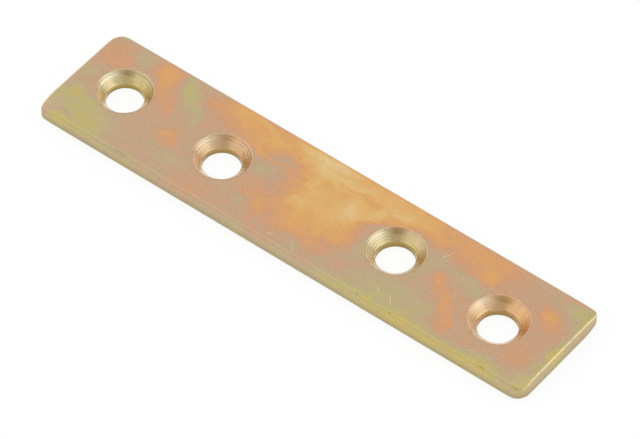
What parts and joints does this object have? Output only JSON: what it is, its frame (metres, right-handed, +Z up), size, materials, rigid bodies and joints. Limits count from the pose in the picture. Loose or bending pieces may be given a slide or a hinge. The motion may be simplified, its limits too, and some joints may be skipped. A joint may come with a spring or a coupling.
{
  "type": "mending plate",
  "caption": "Flat steel mending plate with rounded corners and staggered countersunk screw holes, zinc plated with yellow passivation.",
  "frame": {"origin": "centre of the plate's outline on its underside", "axes": "+X along the plate's length, +Z up through the countersunk face"},
  "size_m": [0.0762, 0.016, 0.0023],
  "materials": {
    "zinc_plated_steel": "satin"
  },
  "bodies": {
    "root": {"mending_plate": "zinc_plated_steel"}
  },
  "joints": []
}
